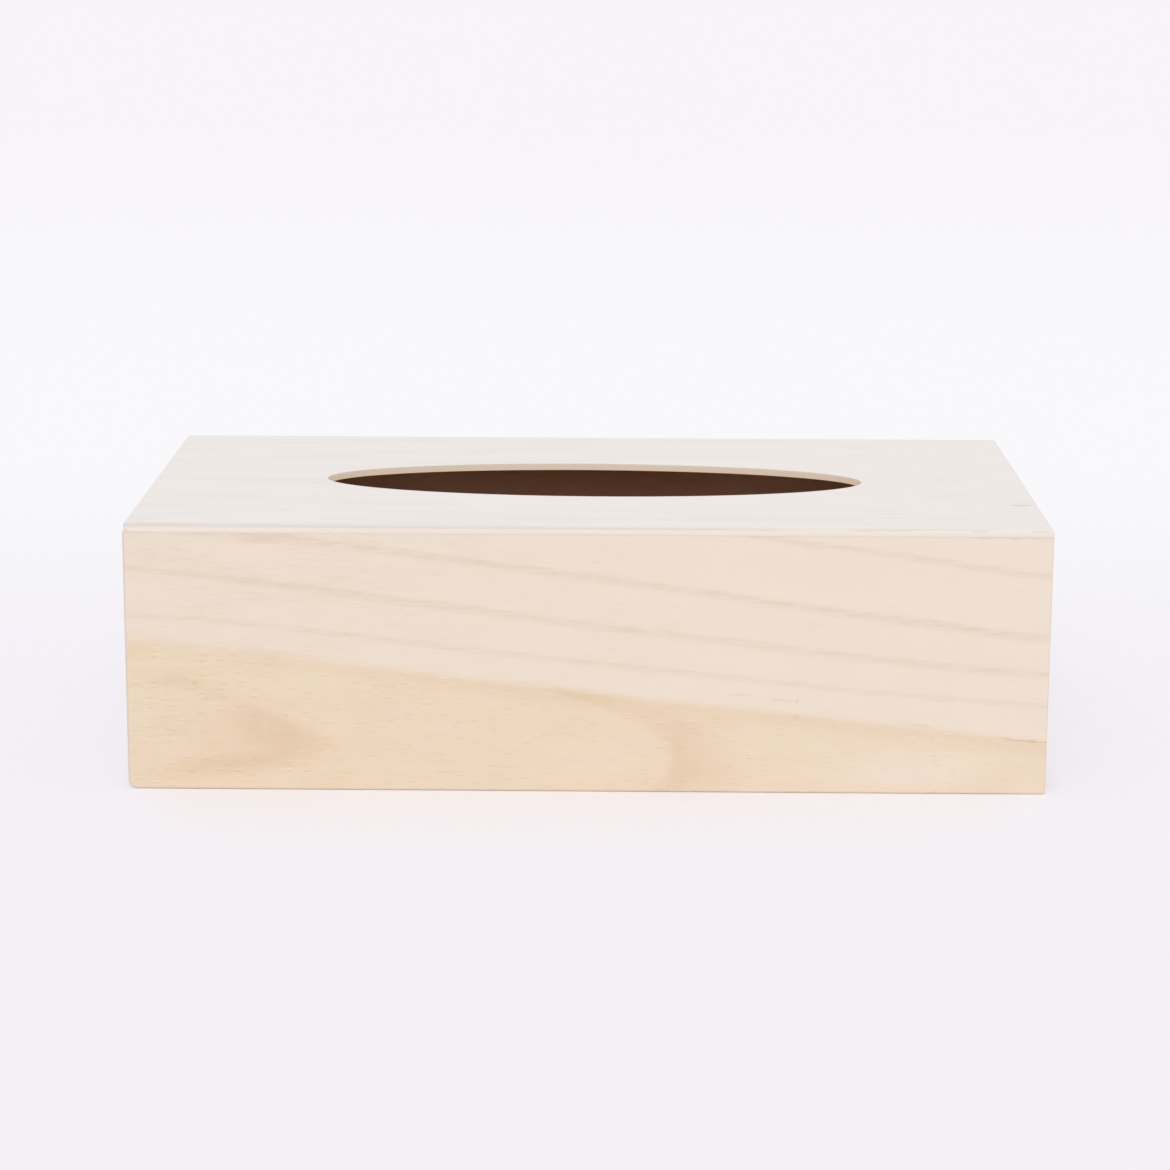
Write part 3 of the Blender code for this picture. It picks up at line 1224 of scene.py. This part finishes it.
class TISSUEBOX_OT_end_boards(bpy.types.Operator):
    """Make the left and right end boards between the long boards"""

    bl_idname = "tissue_box.end_boards"
    bl_label = "End Boards"

    def execute(self, context):
        sizes, colours, grain = user_settings(context)
        left = self.end_board("left_end_wall", -1, sizes.left_foot_radius, sizes)
        left = cut(left, slide_space(sizes))
        left_material = board_material("left_end_board_wood", left_look, colours, grain)
        finish_piece("left_end_board", left, "left_end_wall", "cover", left_material)
        right = self.end_board("right_end_wall", 1, sizes.right_foot_radius, sizes)
        right_material = board_material("right_end_board_wood", right_look, colours, grain)
        finish_piece("right_end_board", right, "right_end_wall", "cover", right_material)
        return {"FINISHED"}

    def end_board(self, node, side, foot_radius, sizes):
        low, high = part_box(node)
        low.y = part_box("front_wall")[1].y + sizes.joint_gap
        high.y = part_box("back_wall")[0].y - sizes.joint_gap
        high.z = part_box("top_panel")[0].z - sizes.joint_gap
        shape = block(low, high)
        foot = outermost(shape, 2, -1) & outermost(shape, 0, side)
        round_edges(shape, foot, foot_radius, foot_segments)
        return shape


class TISSUEBOX_OT_bottom(bpy.types.Operator):
    """Make the plywood bottom that slides out, with its finger hole"""

    bl_idname = "tissue_box.bottom"
    bl_label = "Sliding Bottom"

    def execute(self, context):
        sizes, colours, grain = user_settings(context)
        low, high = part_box("bottom_board")
        chamfer = sizes.finger_hole_chamfer
        radius = sizes.finger_hole / 2
        hole = stack_of_ovals(
            (high.x - sizes.finger_hole_inset, 0),
            radius,
            radius,
            rim_rings(low.z, high.z, chamfer, chamfer),
            hole_segments,
        )
        shape = cut(block(low, high), hole)
        material = ply_material("bottom_plywood", "bottom_board", bottom_look, colours, grain)
        finish_piece("sliding_bottom", shape, "bottom_board", "bottom", material)
        return {"FINISHED"}


# Where the floor changes its tone, in metres: from front to back, and far from the middle. The tones
# paint the fall of light over the floor, brightest behind the box.
middle_tone = (-0.35, 0.1)
bright_tone = (0.05, 0.45)
back_tone = (0.6, 2.4)

# Where the glow beside the box starts and where it is full, from the ends of the box outwards
glow_range = (-0.02, 0.01)


class TISSUEBOX_OT_stage(bpy.types.Operator):
    """Make the pale floor, the soft light and the camera"""

    bl_idname = "tissue_box.stage"
    bl_label = "Stage"

    def execute(self, context):
        stage = context.scene.tissue_box_stage
        self.floor(stage)
        self.light(context.scene, stage)
        camera = bpy.data.objects.new("camera", bpy.data.cameras.new("camera"))
        camera.data.lens = stage.lens
        camera.data.clip_start = 0.01
        camera.data.clip_end = 100
        camera.location = stage.camera_place
        camera.rotation_euler = stage.camera_turn
        context.scene.collection.objects.link(camera)
        context.scene.camera = camera
        context.scene.view_settings.view_transform = "Standard"
        return {"FINISHED"}

    def floor(self, stage):
        shape = bmesh.new()
        bmesh.ops.create_grid(shape, x_segments=1, y_segments=1, size=stage.floor_size / 2)
        floor = mesh_object("floor", shape)
        material = bpy.data.materials.new("pale_floor")
        nodes = empty_nodes(material)
        place = nodes.add("ShaderNodeTexCoord", {}, "Object")
        sideways, depth, _ = nodes.split(place)
        distance = nodes.add("ShaderNodeVectorMath", {0: place}, 1, operation="LENGTH")
        tone = (*stage.floor_front, 1)
        for where, limits, next_tone in (
            (depth, middle_tone, stage.floor_middle),
            (depth, bright_tone, stage.floor_bright),
            (distance, back_tone, stage.floor_back),
        ):
            tone = nodes.mix(nodes.between(where, *limits), tone, (*next_tone, 1))
        matt = nodes.add("ShaderNodeBsdfDiffuse", {"Color": tone})
        glow = nodes.add("ShaderNodeEmission", {"Color": tone, "Strength": 1.0})
        glow_limits = (cad_box[1].x + limit for limit in glow_range)
        beside = nodes.between(nodes.math("ABSOLUTE", sideways), *glow_limits, 0, stage.side_glow)
        rays = nodes.add("ShaderNodeLightPath", {}).node.outputs
        beside = nodes.times(beside, rays["Is Camera Ray"])
        surface = nodes.add("ShaderNodeMixShader", {0: beside, 1: matt, 2: glow})
        nodes.add_output(surface)
        floor.data.materials.append(material)

    def light(self, scene, stage):
        sun = bpy.data.lights.new("soft_lamp", "SUN")
        sun.energy = stage.lamp
        sun.angle = stage.lamp_spread
        lamp = bpy.data.objects.new("soft_lamp", sun)
        lamp.rotation_euler = stage.lamp_turn
        scene.collection.objects.link(lamp)
        world = bpy.data.worlds.new("even_light")
        nodes = empty_nodes(world)
        light = nodes.add("ShaderNodeBackground", {"Color": (1, 1, 1, 1), "Strength": stage.sky})
        backdrop = nodes.add("ShaderNodeBackground", {"Color": (*stage.floor_back, 1), "Strength": 1.0})
        rays = nodes.add("ShaderNodeLightPath", {}).node.outputs
        sees = nodes.math("MAXIMUM", rays["Is Camera Ray"], rays["Is Glossy Ray"])
        sees = nodes.math("MAXIMUM", sees, rays["Is Transmission Ray"])
        surface = nodes.add("ShaderNodeMixShader", {0: sees, 1: light, 2: backdrop})
        nodes.add_output(surface, "ShaderNodeOutputWorld")
        scene.world = world


class TISSUEBOX_PT_panel(bpy.types.Panel):
    """Sizes, colours and making of the tissue box cover"""

    bl_idname = "TISSUEBOX_PT_panel"
    bl_label = "Tissue Box Cover"
    bl_space_type = "VIEW_3D"
    bl_region_type = "UI"
    bl_category = "Tissue Box"

    def draw(self, context):
        for operator in operators:
            self.layout.operator(operator.bl_idname)
        for attribute in settings:
            group = getattr(context.scene, attribute)
            box = self.layout.box()
            for name in group.__annotations__:
                box.prop(group, name)


operators = (
    TISSUEBOX_OT_lid,
    TISSUEBOX_OT_long_boards,
    TISSUEBOX_OT_end_boards,
    TISSUEBOX_OT_bottom,
    TISSUEBOX_OT_stage,
)
settings = {
    "tissue_box_shape": BoxShape,
    "tissue_box_colours": BoxColours,
    "tissue_box_grain": WoodGrain,
    "tissue_box_stage": BoxStage,
}


def register():
    for group in (*settings.values(), *operators, TISSUEBOX_PT_panel):
        bpy.utils.register_class(group)
    for attribute, group in settings.items():
        setattr(bpy.types.Scene, attribute, PointerProperty(type=group))


def unregister():
    for attribute in settings:
        delattr(bpy.types.Scene, attribute)
    for group in (TISSUEBOX_PT_panel, *reversed(operators), *settings.values()):
        bpy.utils.unregister_class(group)


def main():
    register()
    bpy.ops.tissue_box.lid()
    bpy.ops.tissue_box.long_boards()
    bpy.ops.tissue_box.end_boards()
    bpy.ops.tissue_box.bottom()
    bpy.ops.tissue_box.stage()


if __name__ == "__main__":
    main()
